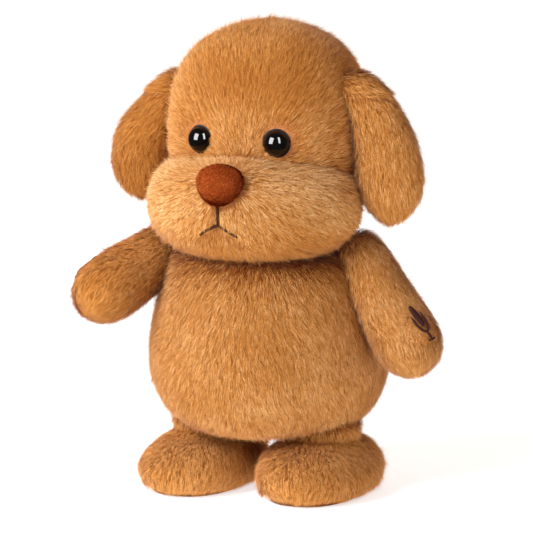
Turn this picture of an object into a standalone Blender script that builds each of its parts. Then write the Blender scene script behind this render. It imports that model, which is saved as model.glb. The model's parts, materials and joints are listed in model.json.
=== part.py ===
"""Walking and singing plush puppy, about 0.22 m tall, built as an assembly of separate pieces.

Metres, +Z up. The puppy stands on z = 0 and faces -Y, so its own left hand is at +X.
All pieces hang from the empty "puppy", which puts the middle of the bounding box on the Z axis.
"""
import math

import bmesh
import bpy
from mathutils import Matrix, Vector

MM = 0.001
GAP = 0.3 * MM            # between pieces that touch
TOY_SHIFT = Vector((-5.73, 4.51, 0)) * MM   # moves the neck axis, so that the bounding box is centred

# ---- Soft shapes: (radius, height) of the turned outlines, down the outer side ----
BODY_OUTER = [(17, 109.5), (30, 111.5), (38, 113), (43, 110.5), (45.5, 105), (48.5, 96), (52, 80),
              (53.5, 66), (52.5, 55), (48.5, 43), (42, 35), (32, 30.8), (18, 29.5), (0, 29.2)]
BODY_INNER = [(0, 35), (30, 36.6), (39, 43.5), (45, 55), (46.5, 66), (45, 80), (42, 96), (38, 106),
              (17, 106)]
BODY_DEPTH = 0.93         # depth over width of the body
HEAD_OUTER = [(0, 222), (14, 219.8), (26, 213.4), (36, 202.5), (41.6, 189.5), (44.1, 175), (44.2, 161),
              (42.8, 147), (40, 133), (34, 121), (26, 116), (18, 115)]
HEAD_INNER = [(18, 121.5), (30, 124), (34.5, 135), (36, 150), (36.2, 168), (33.5, 184), (28, 196),
              (18, 207), (0, 213)]
HEAD_Y = 5 * MM
MUZZLE_CENTRE = Vector((0, -14, 136.5)) * MM
MUZZLE_HALF = Vector((49.5, 39.5, 24.5)) * MM

# ---- Face ----
EYE_Z, EYE_TURN, EYE_SEAT = 168.5 * MM, math.radians(25), 44.5 * MM
EYE_DEPTH, STEM_RADIUS = 11.7 * MM, 2.2 * MM
WASHER_RADIUS, WASHER_THICK, WASHER_SEAT = 6.5 * MM, 1.2 * MM, 33.4 * MM
NOSE_CENTRE, NOSE_TILT = Vector((0, -48.6, 150.4)) * MM, math.radians(20)

# ---- Ears: flaps that hang from the hinge, flare outwards and bow on the way down ----
EAR_HINGE = Vector((44.5, -3, 190)) * MM
EAR_HALF, EAR_DROP = Vector((14.5, 7.5, 30)) * MM, 29 * MM
EAR_FLARE, EAR_TURN, EAR_BOW = math.radians(17), math.radians(10), 7.5 * MM
EAR_SLIM, EAR_SWELL = 0.62, 0.5      # share of its width at the hinge, and what it gains on the way down

# ---- Arms: each hangs along its direction and is then swung forward; its limits count from hanging ----
SHOULDER = Vector((47, 0, 113)) * MM
ARM_DIRECTION = {"left": (0.583, 0, -0.812), "right": (0.36, 0, -0.933)}
ARM_SWING = {"left": 11.6, "right": 68}
ARM_LIMITS = {"left": (-25, 90), "right": (35, 95)}
ARM_PROFILE = [(0, -10), (6.5, -8.5), (10, -4), (12, 6), (12.8, 20), (13.8, 33), (14.5, 44),
               (13.4, 51.5), (10, 57.6), (5.5, 60.4), (0, 61.2)]
HAND_ALONG, HAND_OUT, HAND_TURN = 44 * MM, 14.4 * MM, math.radians(35)
POCKET_RADIUS, POCKET_FLOOR = 8.4 * MM, 3.4 * MM
PATCH_RADIUS, PATCH_THICK = 7.6 * MM, 1.2 * MM
BUTTON_RADIUS, BUTTON_BASE, BUTTON_TOP = 5 * MM, 9.2 * MM, 12.9 * MM
SWITCH_RADIUS, SWITCH_BASE, SWITCH_TOP = 7 * MM, 3.7 * MM, 7.7 * MM

# ---- Feet and legs ----
FOOT_CENTRE, FOOT_HALF = Vector((30, -6, 13.2)) * MM, Vector((25.5, 40.5, 12.2)) * MM
ANKLE_CENTRE = Vector((27, 0, 20)) * MM
SOLE_HALF, SOLE_THICK = Vector((19, 33, 0)) * MM, 5 * MM
ROLLER_Y, ROLLER_RADIUS, ROLLER_LIFT = -26 * MM, 4.4 * MM, 0.2 * MM
LEG_X, LEG_THICK = 24.75 * MM, 3.5 * MM
YOKE_HALF, YOKE_LOW, YOKE_HIGH = 14 * MM, 48 * MM, 68 * MM
SHANK_HALF = 5 * MM

# ---- Drive ----
MODULE = 0.8 * MM
CRANK_AXIS = (0 * MM, 58 * MM)
CRANK_THROW, CRANK_PIN_RADIUS = 4 * MM, 1.25 * MM
CRANK_TEETH, FIRST_TEETH, PINION_TEETH = 28, 24, 8
FIRST_ANGLE, MOTOR_ANGLE = math.radians(55), math.radians(100)
SHAFT_RADIUS, BEARING_RADIUS = 1.5 * MM, 1.8 * MM
MOTOR_RADIUS, MOTOR_LENGTH = 10 * MM, 25 * MM

# ---- Inner casing and battery bay ----
CASE_HALF_X, CASE_FRONT, CASE_REAR = 30 * MM, -26 * MM, 23 * MM
CASE_LOW, CASE_HIGH, CASE_ROUND, CASE_WALL = 42 * MM, 102 * MM, 6 * MM, 2 * MM
SCREW_SPOTS = [(16, 47.2), (-16, 47.2), (21.5, 95.5), (-21.5, 95.5)]
NECK_RADIUS = 7 * MM
BAY_HALF_X, BAY_LOW, BAY_HIGH, BAY_REAR, BAY_WALL = 18 * MM, 50 * MM, 100 * MM, 37.7 * MM, 1.4 * MM
CELL_RADIUS, CELL_LENGTH, CELL_PITCH = 5.25, 44.5, 10.9      # AAA cells, in millimetres
PLATE_HALF_X, PLATE_LOW, PLATE_HIGH, PLATE_Y, PLATE_THICK = 21 * MM, 41 * MM, 101 * MM, 38 * MM, 2 * MM
DOOR_HALF_X, DOOR_LOW, DOOR_HIGH = 17 * MM, 51.5 * MM, 98.5 * MM
SWITCH_Z = 46.2 * MM


def clear_scene():
    for obj in list(bpy.data.objects):
        bpy.data.objects.remove(obj, do_unlink=True)


def new_collection(name):
    collection = bpy.data.collections.new(name)
    bpy.context.scene.collection.children.link(collection)
    return collection


def material(name, colour, roughness, metallic=0.0):
    mat = bpy.data.materials.new(name)
    mat.use_nodes = True
    shader = mat.node_tree.nodes["Principled BSDF"]
    shader.inputs["Base Color"].default_value = (*colour, 1)
    shader.inputs["Roughness"].default_value = roughness
    shader.inputs["Metallic"].default_value = metallic
    return mat


clear_scene()
PARTS = new_collection("plush_puppy")
CUTTERS = new_collection("cutters")
TOY = bpy.data.objects.new("puppy", None)
TOY.location = TOY_SHIFT
PARTS.objects.link(TOY)

PLUSH = material("tan_plush", (0.60, 0.30, 0.11), 0.95)
BLACK = material("black_gloss", (0.008, 0.007, 0.007), 0.08)
NOSE = material("brown_flock", (0.28, 0.07, 0.02), 0.9)
THREAD = material("dark_thread", (0.05, 0.015, 0.012), 0.8)
WHITE = material("white_plastic", (0.72, 0.70, 0.66), 0.4)
DARK = material("dark_plastic", (0.05, 0.05, 0.055), 0.45)
STEEL = material("steel", (0.55, 0.55, 0.56), 0.3, 1.0)
CELL = material("cell_jacket", (0.10, 0.16, 0.20), 0.35)
BOARD = material("circuit_board", (0.02, 0.16, 0.06), 0.5)
RUBBER = material("rubber", (0.03, 0.03, 0.03), 0.8)


# ---------------------------------------------------------------- helpers
def add(name, mesh, mat, place=None, parent=None, cutter=False):
    """Links a mesh as a piece of the puppy, or as a hidden cutter."""
    obj = bpy.data.objects.new(name, mesh)
    (CUTTERS if cutter else PARTS).objects.link(obj)
    obj.parent = parent or TOY
    obj.matrix_local = place or Matrix.Identity(4)
    if cutter:
        obj.hide_render = True
        obj.display_type = "WIRE"
    else:
        mesh.materials.append(mat)
    return obj


def finish_mesh(name, bm):
    bmesh.ops.recalc_face_normals(bm, faces=bm.faces)
    mesh = bpy.data.meshes.new(name)
    bm.to_mesh(mesh)
    bm.free()
    mesh.shade_smooth()
    mesh.set_sharp_from_angle(angle=math.radians(40))
    return mesh


def block(name, low, high, mat=None, bevel=0.0, cutter=False, parent=None):
    """A box between two corners, given in millimetres, with rounded edges if bevel is set."""
    low, high = Vector(low) * MM, Vector(high) * MM
    bm = bmesh.new()
    bmesh.ops.create_cube(bm, size=1)
    bmesh.ops.scale(bm, vec=high - low, verts=bm.verts)
    bmesh.ops.translate(bm, vec=(high + low) / 2, verts=bm.verts)
    if bevel:
        bmesh.ops.bevel(bm, geom=bm.edges, offset=bevel, segments=2, affect="EDGES", profile=0.5)
    return add(name, finish_mesh(name, bm), mat, parent=parent, cutter=cutter)


def rod(name, start, end, radius, mat=None, sides=16, cutter=False, parent=None):
    """A cylinder from one point to another."""
    start, end = Vector(start), Vector(end)
    bm = bmesh.new()
    bmesh.ops.create_cone(bm, cap_ends=True, segments=sides, radius1=radius, radius2=radius,
                          depth=(end - start).length)
    turn = (end - start).to_track_quat("Z", "Y").to_matrix().to_4x4()
    bmesh.ops.transform(bm, matrix=Matrix.Translation((start + end) / 2) @ turn, verts=bm.verts)
    return add(name, finish_mesh(name, bm), mat, parent=parent, cutter=cutter)


def turned(name, profile, mat=None, steps=16, place=None, cutter=False, parent=None):
    """A profile of (radius, height) in millimetres, down its outer side, turned about local Z."""
    mesh = bpy.data.meshes.new(name)
    points = [(radius * MM, 0, height * MM) for radius, height in profile]
    mesh.from_pydata(points, [(i, i + 1) for i in range(len(points) - 1)], [])
    obj = add(name, mesh, mat, place, parent, cutter)
    screw = obj.modifiers.new("turn", "SCREW")
    screw.axis = "Z"
    screw.steps = screw.render_steps = steps
    screw.use_merge_vertices = True
    screw.merge_threshold = 0.00001
    return obj


def ring(name, inner, outer, low, high, mat, steps=16, place=None, parent=None):
    """A washer-like ring: turned about local Z, sizes in metres."""
    loop = [(inner, high), (outer, high), (outer, low), (inner, low), (inner, high)]
    return turned(name, [(r / MM, z / MM) for r, z in loop], mat, steps, place, parent=parent)


def boolean(obj, other, operation="DIFFERENCE"):
    modifier = obj.modifiers.new(operation.lower(), "BOOLEAN")
    modifier.operation = operation
    modifier.object = other
    modifier.solver = "EXACT"


def prism(name, outline, x_low, x_high, mat=None, cutter=False, parent=None):
    """A (y, z) outline, or a list of outlines of which the later are holes, extruded along X."""
    loops = outline if isinstance(outline[0][0], (tuple, list)) else [outline]
    curve = bpy.data.curves.new(name, "CURVE")
    curve.dimensions = "2D"
    curve.fill_mode = "BOTH"
    curve.extrude = (x_high - x_low) / 2
    for loop in loops:
        spline = curve.splines.new("POLY")
        spline.points.add(len(loop) - 1)
        for point, (y, z) in zip(spline.points, loop):
            point.co = (y, z, 0, 1)
        spline.use_cyclic_u = True
    guide = bpy.data.objects.new(name + "_outline", curve)
    CUTTERS.objects.link(guide)
    bpy.context.view_layer.update()
    graph = bpy.context.evaluated_depsgraph_get()
    mesh = bpy.data.meshes.new_from_object(guide.evaluated_get(graph))
    bpy.data.objects.remove(guide)
    bm = bmesh.new()
    bm.from_mesh(mesh)
    bmesh.ops.remove_doubles(bm, verts=bm.verts, dist=0.000001)
    upright = Matrix(((0, 0, 1, (x_low + x_high) / 2), (1, 0, 0, 0), (0, 1, 0, 0), (0, 0, 0, 1)))
    bmesh.ops.transform(bm, matrix=upright, verts=bm.verts)
    return add(name, finish_mesh(name, bm), mat, parent=parent, cutter=cutter)


def circle(y, z, radius, sides=16):
    turns = [2 * math.pi * i / sides for i in range(sides)]
    return [(y + radius * math.cos(a), z + radius * math.sin(a)) for a in turns]


def rounded(half_x, low, high, corner, steps=4):
    """A rounded rectangle as (x, z) points."""
    points = []
    corners = [(half_x - corner, high - corner, 0), (-half_x + corner, high - corner, 90),
               (-half_x + corner, low + corner, 180), (half_x - corner, low + corner, 270)]
    for x, z, first in corners:
        for i in range(steps + 1):
            a = math.radians(first + 90 * i / steps)
            points.append((x + corner * math.cos(a), z + corner * math.sin(a)))
    return points


def panel(name, outlines, y_low, y_high, mat=None, cutter=False, parent=None):
    """(x, z) outlines extruded along Y; the later outlines are holes."""
    obj = prism(name, outlines, y_low, y_high, mat, cutter, parent)
    swap = Matrix(((0, 1, 0, 0), (1, 0, 0, 0), (0, 0, 1, 0), (0, 0, 0, 1)))
    obj.data.transform(swap)
    obj.data.flip_normals()
    return obj


def blob(name, centre, half, mat, segments=20, rings=10, place=None, parent=None, cutter=False):
    """An ellipsoid with its own half sizes."""
    bm = bmesh.new()
    bmesh.ops.create_uvsphere(bm, u_segments=segments, v_segments=rings, radius=1)
    bmesh.ops.scale(bm, vec=half, verts=bm.verts)
    bmesh.ops.translate(bm, vec=centre, verts=bm.verts)
    return add(name, finish_mesh(name, bm), mat, place, parent, cutter)


def facing(point, direction):
    """A frame at point whose local Z looks along direction."""
    turn = Vector(direction).to_track_quat("Z", "Y").to_matrix().to_4x4()
    return Matrix.Translation(point) @ turn


def mirrored(vector, side):
    return Vector((vector[0] * side, vector[1], vector[2]))


SIDES = (("left", 1), ("right", -1))


# ---------------------------------------------------------------- plush body and head
def make_body():
    body = turned("body_plush", BODY_INNER + BODY_OUTER, PLUSH, steps=26)
    body.matrix_local = Matrix.Diagonal((1, BODY_DEPTH, 1, 1))
    hatch = panel("cut_hatch", rounded(PLATE_HALF_X + 1 * MM, PLATE_LOW - 1 * MM, PLATE_HIGH + 1 * MM,
                                       6 * MM), 20 * MM, 70 * MM, cutter=True)
    boolean(body, hatch)
    for side, sign in SIDES:
        x = sorted((sign * 21, sign * 28.5))
        boolean(body, block(f"cut_leg_hole_{side}", (x[0], -11, 20), (x[1], 11, 40), cutter=True))


def make_head():
    head = turned("head_plush", HEAD_OUTER + HEAD_INNER, PLUSH, steps=24,
                  place=Matrix.Translation((0, HEAD_Y, 0)))
    for side, sign in SIDES:
        out = Vector((math.sin(EYE_TURN) * sign, -math.cos(EYE_TURN), 0))
        axis = Vector((0, HEAD_Y, EYE_Z))
        boolean(head, rod(f"cut_eye_{side}", axis + out * 30 * MM, axis + out * 50 * MM,
                          STEM_RADIUS + 0.5 * MM, sides=12, cutter=True))
        make_eye(side, axis, out)
    muzzle = blob("muzzle_plush", MUZZLE_CENTRE, MUZZLE_HALF, PLUSH, 22, 12)
    room = [(radius + 0.5 if radius else 0, height + (0.5 if height > 200 else 0))
            for radius, height in HEAD_OUTER[:-2]]
    room += [(34, 105), (0, 105)]
    boolean(muzzle, turned("cut_head", room, steps=24, cutter=True,
                           place=Matrix.Translation((0, HEAD_Y, 0))))
    make_nose(muzzle)
    turned("head_frame", [(0, 182), (12, 179.5), (22, 171), (27, 158), (27, 140), (25, 130), (22.5, 130),
                          (24.5, 140), (24.5, 158), (20, 169), (11, 177), (0, 179.5)], WHITE, steps=16)
    turned("neck_post", [(0, 129.6), (24, 129.6), (24, 126.6), (NECK_RADIUS / MM, 126.6),
                         (NECK_RADIUS / MM, 99.7), (11, 99.7), (11, 97), (0, 97)], WHITE, steps=20)


def make_eye(side, axis, out):
    dome = [(0, 4.8), (2.6, 4.3), (4.6, 3.0), (5.7, 1.4), (6, 0.5), (5.6, 0)]
    stem = [(STEM_RADIUS / MM, 0), (STEM_RADIUS / MM, -EYE_DEPTH / MM), (0, -EYE_DEPTH / MM)]
    turned(f"eye_{side}", dome + stem, BLACK, steps=16, place=facing(axis + out * EYE_SEAT, out))
    ring(f"eye_washer_{side}", STEM_RADIUS + GAP, WASHER_RADIUS, 0, WASHER_THICK, WHITE, steps=12,
         place=facing(axis + out * WASHER_SEAT, out))


def make_nose(muzzle):
    out = Vector((0, -math.cos(NOSE_TILT), math.sin(NOSE_TILT)))
    place = facing(NOSE_CENTRE, out)
    cap = [(0, 8), (4, 7.5), (7.5, 5.9), (9.6, 3.2), (10.2, 0.6), (9.6, -0.5)]
    stem = [(STEM_RADIUS / MM, -0.5), (STEM_RADIUS / MM, -9), (0, -9)]
    turned("nose", cap + stem, NOSE, steps=18, place=place)
    seat = [(0, 12), (10.6, 12), (10.6, -0.9), (2.6, -0.9), (2.6, -4.5), (8, -4.5), (8, -16), (0, -16)]
    boolean(muzzle, turned("cut_nose_seat", seat, steps=18, place=place, cutter=True))
    ring("nose_washer", STEM_RADIUS + GAP, WASHER_RADIUS, -6.6 * MM, -5.4 * MM, WHITE, steps=12,
         place=place)


def on_muzzle(x, z, proud):
    """The point of the muzzle's front at (x, z) in millimetres, moved forward by proud."""
    u = x * MM / MUZZLE_HALF.x
    w = (z * MM - MUZZLE_CENTRE.z) / MUZZLE_HALF.z
    y = MUZZLE_CENTRE.y - MUZZLE_HALF.y * math.sqrt(1 - u * u - w * w)
    return Vector((x * MM, y - proud, z * MM))


def stitch(name, spots):
    curve = bpy.data.curves.new(name, "CURVE")
    curve.dimensions = "3D"
    curve.bevel_depth = 0.6 * MM
    curve.bevel_resolution = 1
    curve.use_fill_caps = True
    spline = curve.splines.new("POLY")
    spline.points.add(len(spots) - 1)
    for point, (x, z) in zip(spline.points, spots):
        point.co = (*on_muzzle(x, z, 1.1 * MM), 1)
    curve.materials.append(THREAD)
    obj = bpy.data.objects.new(name, curve)
    PARTS.objects.link(obj)
    obj.parent = TOY


def make_mouth():
    stitch("mouth_seam", [(0, 141), (0, 138), (0, 135), (0, 132.8)])
    strokes = [(x, 131.2 - 4.6 * abs(x / 10.5) ** 1.4) for x in (-10.5, -8, -5, -2, 0, 2, 5, 8, 10.5)]
    stitch("mouth_stitch", strokes)


def make_ears():
    for side, sign in SIDES:
        hinge = bpy.data.objects.new(f"ear_hinge_{side}", None)
        PARTS.objects.link(hinge)
        hinge.parent = TOY
        hinge.location = mirrored(EAR_HINGE, sign)
        lean = Matrix.Rotation(EAR_TURN * sign, 4, "Z") @ Matrix.Rotation(-EAR_FLARE * sign, 4, "Y")
        ear = blob(f"ear_{side}", (0, 0, -EAR_DROP), EAR_HALF, PLUSH, 14, 10, parent=hinge, place=lean)
        for vertex in ear.data.vertices:
            along = min(max(-vertex.co.z / (2 * EAR_DROP), 0), 1)
            vertex.co.x *= EAR_SLIM + EAR_SWELL * along
            vertex.co.x += sign * EAR_BOW * math.sin(math.pi * along ** 1.15)


# ---------------------------------------------------------------- arms with a press switch in each hand
def make_arms():
    for side, sign in SIDES:
        shoulder = bpy.data.objects.new(f"shoulder_{side}", None)
        PARTS.objects.link(shoulder)
        shoulder.parent = TOY
        shoulder.matrix_local = (Matrix.Translation(mirrored(SHOULDER, sign))
                                 @ Matrix.Rotation(math.radians(-ARM_SWING[side]), 4, "X"))
        along = mirrored(ARM_DIRECTION[side], sign).normalized()
        arm = turned(f"arm_{side}", list(reversed([(r, s) for r, s in ARM_PROFILE])), PLUSH, steps=14,
                     place=facing((0, 0, 0), along), parent=shoulder)
        boolean(arm, shoulder_room(side, sign, shoulder))
        outward = (Vector((sign, 0, 0)) - along * along.dot(Vector((sign, 0, 0)))).normalized()
        press = outward * math.cos(HAND_TURN) + Vector((0, -1, 0)) * math.sin(HAND_TURN)
        palm = along * HAND_ALONG
        boolean(arm, rod(f"cut_pocket_{side}", palm + press * POCKET_FLOOR, palm + press * 30 * MM,
                         POCKET_RADIUS, sides=16, cutter=True, parent=shoulder))
        rod(f"hand_switch_{side}", palm + press * SWITCH_BASE, palm + press * SWITCH_TOP,
            SWITCH_RADIUS, DARK, parent=shoulder)
        rod(f"hand_button_{side}", palm + press * BUTTON_BASE, palm + press * BUTTON_TOP,
            BUTTON_RADIUS, WHITE, parent=shoulder)
        patch = "microphone_patch" if side == "left" else "music_patch"
        rod(patch, palm + press * (HAND_OUT - PATCH_THICK), palm + press * HAND_OUT, PATCH_RADIUS,
            PLUSH, parent=shoulder)


def body_half_width(y, z):
    """Half the width of the body, in millimetres, at depth y and height z."""
    side_wall = BODY_OUTER[2:]
    for (upper_r, upper_z), (lower_r, lower_z) in zip(side_wall, side_wall[1:]):
        if lower_z <= z <= upper_z:
            radius = lower_r + (upper_r - lower_r) * (z - lower_z) / (upper_z - lower_z)
            return math.sqrt(max(radius ** 2 - (y / BODY_DEPTH) ** 2, 0))
    return 0


def shoulder_room(side, sign, shoulder):
    """The room that the body needs beside the swinging arm, turned about the shoulder axis."""
    low, high = ARM_LIMITS[side]
    profile = []
    for reach in range(0, 79, 6):
        swings = [math.radians(angle) for angle in range(low, high + 1, 5)]
        spots = [(rho * math.sin(a), SHOULDER.z / MM - rho * math.cos(a))
                 for rho in (max(reach - 3, 3), reach + 3) for a in swings]
        profile.append((reach, max(body_half_width(y, z) for y, z in spots) + 1.3))
    last = profile[-1][1]
    profile += [(90, last), (90, -20), (0, -20)]
    centred = [(reach, width - SHOULDER.x / MM) for reach, width in profile]
    return turned(f"cut_shoulder_{side}", centred, steps=24, cutter=True, parent=shoulder,
                  place=facing((0, 0, 0), (sign, 0, 0)))


# ---------------------------------------------------------------- legs, feet and soles
def make_legs():
    for side, sign in SIDES:
        x = LEG_X * sign
        yoke = [(-YOKE_HALF, YOKE_LOW), (-SHANK_HALF, YOKE_LOW), (-SHANK_HALF, SOLE_THICK + GAP),
                (SHANK_HALF, SOLE_THICK + GAP), (SHANK_HALF, YOKE_LOW), (YOKE_HALF, YOKE_LOW),
                (YOKE_HALF, YOKE_HIGH), (-YOKE_HALF, YOKE_HIGH)]
        slot_half = 2 * CRANK_THROW + CRANK_PIN_RADIUS + 0.5 * MM
        slot_high = CRANK_THROW + CRANK_PIN_RADIUS + 0.5 * MM
        z = CRANK_AXIS[1]
        slot = [(-slot_half, z - slot_high), (slot_half, z - slot_high), (slot_half, z + slot_high),
                (-slot_half, z + slot_high)]
        prism(f"leg_frame_{side}", [yoke, slot], x - LEG_THICK / 2, x + LEG_THICK / 2, WHITE)
        make_foot(side, sign)


def sole_outline(centre, grow, sides=24):
    points = []
    for i in range(sides):
        a = 2 * math.pi * i / sides
        x = math.copysign(abs(math.cos(a)) ** 0.8, math.cos(a)) * (SOLE_HALF.x + grow)
        y = math.copysign(abs(math.sin(a)) ** 0.8, math.sin(a)) * (SOLE_HALF.y + grow)
        points.append((centre.x + x, centre.y + y))
    return points


def slab(name, outline, low, high, mat=None, cutter=False):
    """An (x, y) outline extruded upwards."""
    obj = prism(name, outline, low, high, mat, cutter)
    obj.data.transform(Matrix(((0, 1, 0, 0), (0, 0, 1, 0), (1, 0, 0, 0), (0, 0, 0, 1))))
    return obj


def make_foot(side, sign):
    centre = mirrored(FOOT_CENTRE, sign)
    foot = blob(f"foot_{side}", centre, FOOT_HALF, PLUSH, 22, 12)
    for vertex in foot.data.vertices:
        height = (vertex.co.z - centre.z) / FOOT_HALF.z
        power = 2.2 if height > 0 else 5
        circle_radius = math.sqrt(max(1 - height * height, 0.0001))
        fuller = max(1 - abs(height) ** power, 0) ** (1 / power) / circle_radius
        vertex.co.x = centre.x + (vertex.co.x - centre.x) * fuller
        vertex.co.y = centre.y + (vertex.co.y - centre.y) * fuller
    ankle = mirrored(ANKLE_CENTRE, sign)
    boolean(foot, turned(f"add_ankle_{side}", [(0, 28.3), (15.5, 28.3), (17, 27), (17, 15), (0, 15)],
                         steps=18, cutter=True, place=Matrix.Translation((ankle.x, ankle.y, 0))), "UNION")
    boolean(foot, slab(f"cut_sole_{side}", sole_outline(centre, 0.6 * MM), -5 * MM,
                       SOLE_THICK + 2 * GAP, cutter=True))
    x = LEG_X * sign / MM
    boolean(foot, block(f"cut_shank_{side}", (x - 2.4, -5.6, 4), (x + 2.4, 5.6, 40), cutter=True))
    middle = centre.x / MM
    roller_y = ROLLER_Y / MM
    boolean(foot, block(f"cut_roller_room_{side}", (middle - 7.2, roller_y - 6, 2),
                        (middle + 7.2, roller_y + 6, 10.2), cutter=True))
    sole = slab(f"sole_{side}", sole_outline(centre, 0), 0, SOLE_THICK, DARK)
    boolean(sole, block(f"cut_roller_{side}", (middle - 6.6, roller_y - 5.2, -2),
                        (middle + 6.6, roller_y + 5.2, 8), cutter=True))
    axle = ROLLER_RADIUS + ROLLER_LIFT
    profile = [(0, 6), (1, 6), (1, 3.6), (3.9, 3.6), (ROLLER_RADIUS / MM, 3), (ROLLER_RADIUS / MM, -3),
               (3.9, -3.6), (1, -3.6), (1, -6), (0, -6)]
    turned(f"roller_{side}", profile, RUBBER, steps=16,
           place=facing((centre.x, ROLLER_Y, axle), (1, 0, 0)))


# ---------------------------------------------------------------- motor and gears
def gear_outline(teeth, y, z, phase):
    """Straight-sided teeth, slim enough to mesh with play. phase turns one tooth's centre there."""
    pitch = MODULE * teeth / 2
    half = math.pi / teeth
    points = []
    for i in range(teeth):
        middle = phase + 2 * math.pi * i / teeth
        for offset, radius in ((-0.56, -1.05), (-0.2, 0.8), (0.2, 0.8), (0.56, -1.05)):
            a = middle + offset * half
            r = pitch + radius * MODULE
            points.append((y + r * math.cos(a), z + r * math.sin(a)))
    return points


def step_from(point, angle, distance):
    return (point[0] + distance * math.cos(angle), point[1] + distance * math.sin(angle))


def make_drive():
    first = step_from(CRANK_AXIS, FIRST_ANGLE, MODULE * (CRANK_TEETH + PINION_TEETH) / 2)
    motor = step_from(first, MOTOR_ANGLE, MODULE * (FIRST_TEETH + PINION_TEETH) / 2)
    half_tooth = {n: math.pi / n for n in (CRANK_TEETH, FIRST_TEETH, PINION_TEETH)}
    bore = circle(*CRANK_AXIS, BEARING_RADIUS, 12)
    prism("crank_gear", [gear_outline(CRANK_TEETH, *CRANK_AXIS, FIRST_ANGLE), bore], 0, 3 * MM, WHITE)
    small = gear_outline(PINION_TEETH, *first, FIRST_ANGLE + math.pi + half_tooth[PINION_TEETH])
    wheel = gear_outline(FIRST_TEETH, *first, MOTOR_ANGLE)
    gear = prism("gear_first", wheel, 4 * MM, 7 * MM, WHITE)
    boolean(gear, prism("add_small_gear", small, 0, 4.5 * MM, cutter=True), "UNION")
    boolean(gear, rod("add_journal", (-4.7 * MM, *first), (10.7 * MM, *first), SHAFT_RADIUS, sides=12,
                      cutter=True), "UNION")
    drive = gear_outline(PINION_TEETH, *motor, MOTOR_ANGLE + math.pi + half_tooth[PINION_TEETH])
    prism("motor_pinion", drive, 4 * MM, 7 * MM, STEEL)
    front = -0.8 * MM
    can = [(0, 4.4), (1, 4.4), (1, 0.6), (3, 0.6), (3, 0), (MOTOR_RADIUS / MM, 0),
           (MOTOR_RADIUS / MM, -MOTOR_LENGTH / MM + 1.5), (7, -MOTOR_LENGTH / MM), (0, -MOTOR_LENGTH / MM)]
    turned("motor", can, STEEL, steps=18, place=facing((front, *motor), (1, 0, 0)))
    rod("crank_shaft", (-19.7 * MM, *CRANK_AXIS), (19.7 * MM, *CRANK_AXIS), SHAFT_RADIUS, STEEL, 12)
    edge = [(-11.8 * MM, 46 * MM), (14 * MM, 46 * MM), (19 * MM, 51 * MM), (19 * MM, 94 * MM),
            (-7 * MM, 94 * MM), (-8.5 * MM, 73 * MM), (-11.8 * MM, 70 * MM)]
    holes = [circle(*CRANK_AXIS, BEARING_RADIUS, 12), circle(*first, BEARING_RADIUS, 12)]
    seat = circle(*motor, MOTOR_RADIUS + 0.25 * MM, 24)
    prism("gearbox_plate_left", [edge, *holes], 9 * MM, 11 * MM, DARK)
    prism("gearbox_plate_right", [edge, *holes, seat], -5 * MM, -3 * MM, DARK)
    for side, sign in SIDES:
        make_crank(side, sign)


def make_crank(side, sign):
    y, z = CRANK_AXIS
    disc = rod(f"crank_{side}", (sign * 20 * MM, y, z), (sign * 22 * MM, y, z), 6.5 * MM, WHITE)
    pin_y = y + CRANK_THROW * sign
    pin = rod(f"add_pin_{side}", (sign * 21 * MM, pin_y, z), (sign * 27 * MM, pin_y, z),
              CRANK_PIN_RADIUS, sides=10, cutter=True)
    boolean(disc, pin, "UNION")


# ---------------------------------------------------------------- inner casing
def make_case():
    inner = [(-CASE_HALF_X + CASE_WALL) / MM, (CASE_FRONT + CASE_WALL) / MM, (CASE_LOW + CASE_WALL) / MM]
    outer = [-CASE_HALF_X / MM, CASE_FRONT / MM, CASE_LOW / MM]
    far = [CASE_HALF_X / MM, CASE_REAR / MM, CASE_HIGH / MM]
    wall = CASE_WALL / MM
    hollow = block("cut_case_inside", inner, [v - wall for v in far], bevel=CASE_ROUND - CASE_WALL,
                   cutter=True)
    neck = rod("cut_neck_hole", (0, 0, 90 * MM), (0, 0, 110 * MM), NECK_RADIUS + 0.4 * MM, cutter=True)
    leg_holes = [block(f"cut_case_leg_{side}", (min(sign * 22, sign * 27.5), -10, 36),
                       (max(sign * 22, sign * 27.5), 10, 46.5), cutter=True) for side, sign in SIDES]
    halves = (("torso_shell_front", -0.15, 60), ("torso_shell_rear", -60, 0.15))
    for name, low, high in halves:
        shell = block(name, outer, far, WHITE, bevel=CASE_ROUND)
        boolean(shell, hollow)
        boolean(shell, block(f"cut_{name}", (-50, low, 20), (50, high, 120), cutter=True))
        for cutter in [neck, *leg_holes]:
            boolean(shell, cutter)
        if name == "torso_shell_front":
            finish_front(shell)
        else:
            finish_rear(shell)
    for number, (x, z) in enumerate(SCREW_SPOTS, start=1):
        y = CASE_REAR + GAP
        screw = [(0, 1.8), (1.6, 1.8), (2.4, 0.9), (2.4, 0), (1.2, 0), (1.2, -10), (0, -11)]
        turned(f"shell_screw_{number}", screw, STEEL, steps=10,
               place=facing((x * MM, y, z * MM), (0, 1, 0)))


def finish_front(shell):
    """Four long screw posts and the sound slots in front of the speaker."""
    for number, (x, z) in enumerate(SCREW_SPOTS, start=1):
        post = rod(f"add_post_{number}", (x * MM, CASE_FRONT + 1 * MM, z * MM),
                   (x * MM, CASE_REAR - 5.5 * MM, z * MM), 2.6 * MM, sides=10, cutter=True)
        boolean(shell, post, "UNION")
        boolean(shell, rod(f"cut_pilot_{number}", (x * MM, 10 * MM, z * MM), (x * MM, 30 * MM, z * MM),
                           1.5 * MM, sides=10, cutter=True))
    for number in range(3):
        z = 75 + 6 * number
        boolean(shell, block(f"cut_sound_{number}", (-9, -30, z), (9, -20, z + 2.4), cutter=True))


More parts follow.
